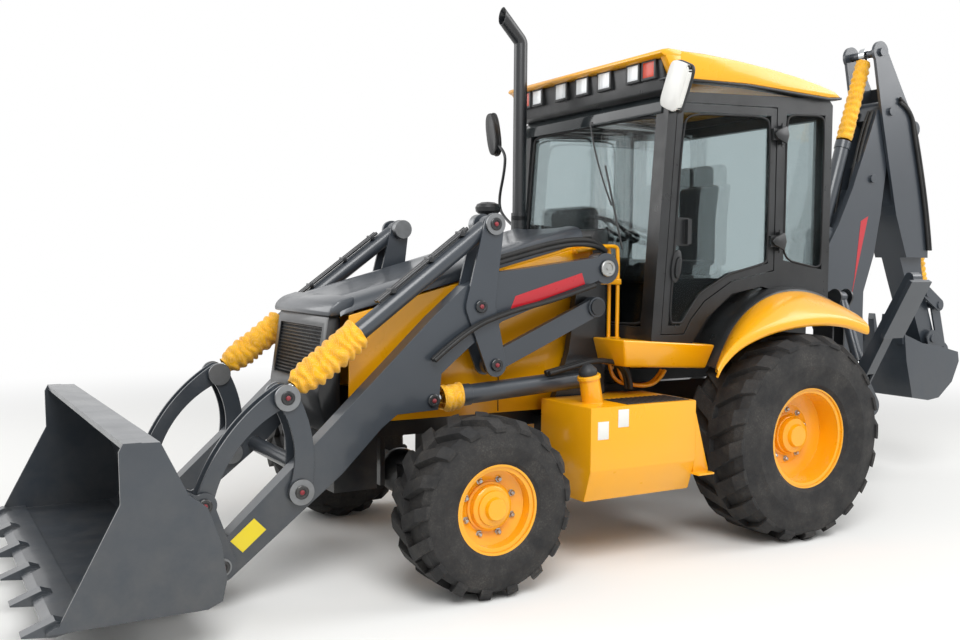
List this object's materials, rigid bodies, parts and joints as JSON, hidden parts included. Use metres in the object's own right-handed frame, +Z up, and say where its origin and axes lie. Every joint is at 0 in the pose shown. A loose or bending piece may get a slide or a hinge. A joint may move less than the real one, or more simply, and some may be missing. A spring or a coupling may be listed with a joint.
{
  "type": "backhoe loader",
  "caption": "Wheeled backhoe loader with a front bucket on lift arms, a glazed cab, a rear digging arm on a swing post and two swing-down stabilisers.",
  "frame": {"origin": "on the ground, below the middle of the machine's overall length and width", "axes": "+X towards the loader bucket, +Y to the driver's left, +Z up"},
  "size_m": [7.294, 2.34, 3.485],
  "materials": {
    "body_yellow": "satin paint",
    "frame_grey": "satin paint",
    "chassis_black": "matt paint",
    "cylinder_grey": "satin paint",
    "chromed_rod": "polished",
    "tyre_rubber": "matt",
    "rim_yellow": "satin paint",
    "pin_steel": "bare",
    "cab_glass": "clear",
    "interior_black": "matt",
    "fitting_black": "matt",
    "engine_iron": "matt"
  },
  "bodies": {
    "chassis": {"main_frame": "chassis_black", "axles": "chassis_black", "side_tanks": "body_yellow", "cab_shell": "fitting_black", "cab_glass": "cab_glass", "cab_roof": "body_yellow", "cab_interior": "interior_black", "cab_fittings": "fitting_black", "rear_fenders": "body_yellow", "bonnet_surround": "body_yellow", "engine_and_exhaust": "engine_iron", "backhoe_frame": "chassis_black"},
    "bonnet": {"bonnet": "frame_grey"},
    "door_left": {"door_left": "fitting_black", "door_left_glass": "cab_glass"},
    "door_right": {"door_right": "fitting_black", "door_right_glass": "cab_glass"},
    "knuckle_left": {"knuckle_left": "chassis_black"},
    "knuckle_right": {"knuckle_right": "chassis_black"},
    "front_wheel_left": {"front_tyre_left": "tyre_rubber", "front_rim_left": "rim_yellow"},
    "front_wheel_right": {"front_tyre_right": "tyre_rubber", "front_rim_right": "rim_yellow"},
    "rear_wheel_left": {"rear_tyre_left": "tyre_rubber", "rear_rim_left": "rim_yellow"},
    "rear_wheel_right": {"rear_tyre_right": "tyre_rubber", "rear_rim_right": "rim_yellow"},
    "lift_arms": {"lift_arms": "frame_grey"},
    "levelling_levers": {"levelling_levers": "frame_grey"},
    "lever_pins": {"lever_top_pins": "pin_steel"},
    "curve_pins": {"curved_lever_pins": "pin_steel"},
    "bucket_pins": {"bucket_hinge_pins": "pin_steel"},
    "loader_bucket": {"loader_bucket": "frame_grey"},
    "tilt_barrels": {"tilt_barrels": "cylinder_grey"},
    "tilt_rods": {"tilt_rods": "chromed_rod"},
    "curved_levers": {"curved_levers": "frame_grey"},
    "link_pins": {"front_link_pins": "pin_steel"},
    "front_links": {"front_links": "frame_grey"},
    "levelling_links": {"levelling_links": "frame_grey"},
    "lift_barrels": {"lift_barrels": "cylinder_grey"},
    "lift_rods": {"lift_rods": "chromed_rod"},
    "swing_post": {"swing_post": "frame_grey"},
    "boom": {"backhoe_boom": "frame_grey"},
    "boom_barrel": {"boom_barrel": "cylinder_grey"},
    "boom_rod": {"boom_rod": "chromed_rod"},
    "dipper": {"dipper": "frame_grey"},
    "dipper_barrel": {"dipper_barrel": "cylinder_grey"},
    "dipper_rod": {"dipper_rod": "chromed_rod"},
    "dig_bucket": {"dig_bucket": "frame_grey"},
    "tipping_lever": {"tipping_lever": "frame_grey"},
    "tipping_link": {"tipping_link": "frame_grey"},
    "dig_barrel": {"dig_barrel": "cylinder_grey"},
    "dig_rod": {"dig_rod": "chromed_rod"},
    "stabiliser_left": {"stabiliser_leg_left": "frame_grey"},
    "stabiliser_right": {"stabiliser_leg_right": "frame_grey"},
    "leg_barrel_left": {"stabiliser_barrel_left": "cylinder_grey"},
    "leg_barrel_right": {"stabiliser_barrel_right": "cylinder_grey"},
    "leg_rod_left": {"stabiliser_rod_left": "chromed_rod"},
    "leg_rod_right": {"stabiliser_rod_right": "chromed_rod"}
  },
  "joints": [
    {"name": "bonnet_lid", "type": "hinge", "parent": "chassis", "child": "bonnet", "pos_m": [0.407, 0, 1.925], "axis": [0, -1, 0], "range_deg": [0, 50]},
    {"name": "door_left", "type": "hinge", "parent": "chassis", "child": "door_left", "pos_m": [-0.875, 0.822, 2.2], "axis": [0, 0, 1], "range_deg": [0, 85]},
    {"name": "door_right", "type": "hinge", "parent": "chassis", "child": "door_right", "pos_m": [-0.875, -0.822, 2.2], "axis": [0, 0, -1], "range_deg": [0, 85]},
    {"name": "steering", "type": "hinge", "parent": "chassis", "child": "knuckle_left", "pos_m": [1.427, 0.792, 0.468], "axis": [0, 0, 1], "range_deg": [-30, 30]},
    {"name": "steering_right", "type": "hinge", "parent": "chassis", "child": "knuckle_right", "pos_m": [1.427, -0.792, 0.468], "axis": [0, 0, 1], "range_deg": [-30.65, 30.65]},
    {"name": "front_wheel_left", "type": "hinge", "parent": "knuckle_left", "child": "front_wheel_left", "pos_m": [1.427, 0.986, 0.468], "axis": [0, 1, 0], "continuous": true},
    {"name": "rear_wheel_left", "type": "hinge", "parent": "chassis", "child": "rear_wheel_left", "pos_m": [-0.855, 0.918, 0.65], "axis": [0, 1, 0], "continuous": true},
    {"name": "front_wheel_right", "type": "hinge", "parent": "knuckle_right", "child": "front_wheel_right", "pos_m": [1.427, -0.986, 0.468], "axis": [0, 1, 0], "continuous": true},
    {"name": "rear_wheel_right", "type": "hinge", "parent": "chassis", "child": "rear_wheel_right", "pos_m": [-0.855, -0.918, 0.65], "axis": [0, 1, 0], "continuous": true},
    {"name": "loader_lift", "type": "hinge", "parent": "chassis", "child": "lift_arms", "pos_m": [0.384, 0, 1.699], "axis": [0, -1, 0], "range_deg": [-4, 70]},
    {"name": "levelling_lever", "type": "hinge", "parent": "lift_arms", "child": "levelling_levers", "pos_m": [1.263, 0, 1.485], "axis": [0, -1, 0], "range_deg": [-51.26, 3.48]},
    {"name": "lever_pin", "type": "hinge", "parent": "levelling_levers", "child": "lever_pins", "pos_m": [1.178, 0, 1.941], "axis": [0, -1, 0], "range_deg": [-3.2, 47.05]},
    {"name": "curved_lever_pin", "type": "hinge", "parent": "lift_arms", "child": "curve_pins", "pos_m": [2.308, 0, 0.563], "axis": [0, -1, 0], "range_deg": [-44.68, 3.04]},
    {"name": "bucket_level", "type": "hinge", "parent": "lift_arms", "child": "bucket_pins", "pos_m": [2.71, 0, 0.235], "axis": [0, -1, 0], "range_deg": [-63.97, 4.33]},
    {"name": "bucket_tilt", "type": "hinge", "parent": "bucket_pins", "child": "loader_bucket", "pos_m": [2.71, 0, 0.235], "axis": [0, 1, 0], "range_deg": [-32, 48]},
    {"name": "tilt_barrel", "type": "hinge", "parent": "lever_pins", "child": "tilt_barrels", "pos_m": [1.178, 0, 1.941], "axis": [0, -1, 0], "range_deg": [-2.77, 4.1]},
    {"name": "tilt_rod", "type": "slide", "parent": "tilt_barrels", "child": "tilt_rods", "axis": [0.8018, 0, -0.5977], "range_m": [-0.17158, 0.25528]},
    {"name": "curved_lever", "type": "hinge", "parent": "curve_pins", "child": "curved_levers", "pos_m": [2.308, 0, 0.563], "axis": [0, -1, 0], "range_deg": [-34.24, 23.03]},
    {"name": "front_link_pin", "type": "hinge", "parent": "curved_levers", "child": "link_pins", "pos_m": [2.38, 0, 1.045], "axis": [0, -1, 0], "range_deg": [-2.42, 35.38]},
    {"name": "front_link", "type": "hinge", "parent": "link_pins", "child": "front_links", "pos_m": [2.38, 0, 1.045], "axis": [0, -1, 0], "range_deg": [-20.13, 29.92]},
    {"name": "levelling_link", "type": "hinge", "parent": "chassis", "child": "levelling_links", "pos_m": [0.436, 0, 1.468], "axis": [0, -1, 0], "range_deg": [-5.3, 78.36]},
    {"name": "lift_barrel", "type": "hinge", "parent": "chassis", "child": "lift_barrels", "pos_m": [0.475, 0, 1.045], "axis": [0, -1, 0], "range_deg": [-4.13, 61.01]},
    {"name": "lift_rod", "type": "slide", "parent": "lift_barrels", "child": "lift_rods", "axis": [0.998, 0, -0.0634], "range_m": [-0.04879, 0.72807]},
    {"name": "swing", "type": "hinge", "parent": "chassis", "child": "swing_post", "pos_m": [-2.295, 0, 0.6], "axis": [0, 0, 1], "range_deg": [-85, 85]},
    {"name": "boom", "type": "hinge", "parent": "swing_post", "child": "boom", "pos_m": [-2.505, 0, 0.78], "axis": [0, -1, 0], "range_deg": [0, 95]},
    {"name": "boom_barrel", "type": "hinge", "parent": "swing_post", "child": "boom_barrel", "pos_m": [-2.625, 0, 0.62], "axis": [0, -1, 0], "range_deg": [-0.99, 94.9]},
    {"name": "boom_rod", "type": "slide", "parent": "boom_barrel", "child": "boom_rod", "axis": [-0.0011, 0, 1], "range_m": [-0.29618, 0.00293]},
    {"name": "dipper", "type": "hinge", "parent": "boom", "child": "dipper", "pos_m": [-2.785, 0, 2.95], "axis": [0, 1, 0], "range_deg": [0, 88]},
    {"name": "dipper_barrel", "type": "hinge", "parent": "boom", "child": "dipper_barrel", "pos_m": [-2.19, 0, 1.965], "axis": [0, -1, 0], "range_deg": [-8.91, 0.14]},
    {"name": "dipper_rod", "type": "slide", "parent": "dipper_barrel", "child": "dipper_rod", "axis": [-0.3083, 0, 0.9513], "range_m": [-0.63265, 0.00626]},
    {"name": "dig_bucket", "type": "hinge", "parent": "dipper", "child": "dig_bucket", "pos_m": [-3.43, 0, 1.13], "axis": [0, 1, 0], "range_deg": [0, 105]},
    {"name": "tipping_lever", "type": "hinge", "parent": "dipper", "child": "tipping_lever", "pos_m": [-3.318, 0, 1.51], "axis": [0, -1, 0], "range_deg": [-106.1, 1.1]},
    {"name": "tipping_link", "type": "hinge", "parent": "tipping_lever", "child": "tipping_link", "pos_m": [-3.477, 0, 1.41], "axis": [0, -1, 0], "range_deg": [-1.1, 106.1]},
    {"name": "dig_barrel", "type": "hinge", "parent": "dipper", "child": "dig_barrel", "pos_m": [-3.09, 0, 2.836], "axis": [0, -1, 0], "range_deg": [-0.06, 1.36]},
    {"name": "dig_rod", "type": "slide", "parent": "dig_barrel", "child": "dig_rod", "axis": [-0.2619, 0, -0.9651], "range_m": [-0.2995, 0.00297]},
    {"name": "stabiliser_left", "type": "hinge", "parent": "chassis", "child": "stabiliser_left", "pos_m": [-1.935, 0.47, 0.61], "axis": [-1, 0, 0], "range_deg": [0, 92]},
    {"name": "stabiliser_barrel_left", "type": "hinge", "parent": "chassis", "child": "leg_barrel_left", "pos_m": [-1.935, 0.43, 1.5], "axis": [1, 0, 0], "range_deg": [-2.01, 0.07]},
    {"name": "stabiliser_rod_left", "type": "slide", "parent": "leg_barrel_left", "child": "leg_rod_left", "axis": [0, 0.3457, -0.9383], "range_m": [-0.00521, 0.52576]},
    {"name": "stabiliser_right", "type": "hinge", "parent": "chassis", "child": "stabiliser_right", "pos_m": [-1.935, -0.47, 0.61], "axis": [1, 0, 0], "range_deg": [0, 92]},
    {"name": "stabiliser_barrel_right", "type": "hinge", "parent": "chassis", "child": "leg_barrel_right", "pos_m": [-1.935, -0.43, 1.5], "axis": [-1, 0, 0], "range_deg": [-2.01, 0.07]},
    {"name": "stabiliser_rod_right", "type": "slide", "parent": "leg_barrel_right", "child": "leg_rod_right", "axis": [0, -0.3457, -0.9383], "range_m": [-0.00521, 0.52576]}
  ],
  "couplings": [
    {"joint": "steering_right", "follows": "steering", "ratio": 1},
    {"joint": "levelling_lever", "follows": "loader_lift", "ratio": -0.72397},
    {"joint": "lever_pin", "follows": "loader_lift", "ratio": 0.66433},
    {"joint": "curved_lever_pin", "follows": "loader_lift", "ratio": -0.63095},
    {"joint": "bucket_level", "follows": "loader_lift", "ratio": -0.90364},
    {"joint": "tilt_barrel", "follows": "bucket_tilt", "ratio": 0.08301},
    {"joint": "tilt_rod", "follows": "bucket_tilt", "m_per_rad": 0.29972},
    {"joint": "curved_lever", "follows": "bucket_tilt", "ratio": -0.70058},
    {"joint": "front_link_pin", "follows": "loader_lift", "ratio": 0.49936},
    {"joint": "front_link", "follows": "bucket_tilt", "ratio": 0.61206},
    {"joint": "levelling_link", "follows": "loader_lift", "ratio": 1.107},
    {"joint": "lift_barrel", "follows": "loader_lift", "ratio": 0.86175},
    {"joint": "lift_rod", "follows": "loader_lift", "m_per_rad": 0.5897},
    {"joint": "boom_barrel", "follows": "boom", "ratio": 0.98852},
    {"joint": "boom_rod", "follows": "boom", "m_per_rad": -0.17686},
    {"joint": "dipper_barrel", "follows": "dipper", "ratio": -0.0997},
    {"joint": "dipper_rod", "follows": "dipper", "m_per_rad": -0.40783},
    {"joint": "tipping_lever", "follows": "dig_bucket", "ratio": -1},
    {"joint": "tipping_link", "follows": "dig_bucket", "ratio": 1},
    {"joint": "dig_barrel", "follows": "dig_bucket", "ratio": 0.01236},
    {"joint": "dig_rod", "follows": "dig_bucket", "m_per_rad": -0.16181},
    {"joint": "stabiliser_barrel_left", "follows": "stabiliser_left", "ratio": -0.02111},
    {"joint": "stabiliser_rod_left", "follows": "stabiliser_left", "m_per_rad": 0.32419},
    {"joint": "stabiliser_barrel_right", "follows": "stabiliser_right", "ratio": -0.02111},
    {"joint": "stabiliser_rod_right", "follows": "stabiliser_right", "m_per_rad": 0.32419}
  ]
}
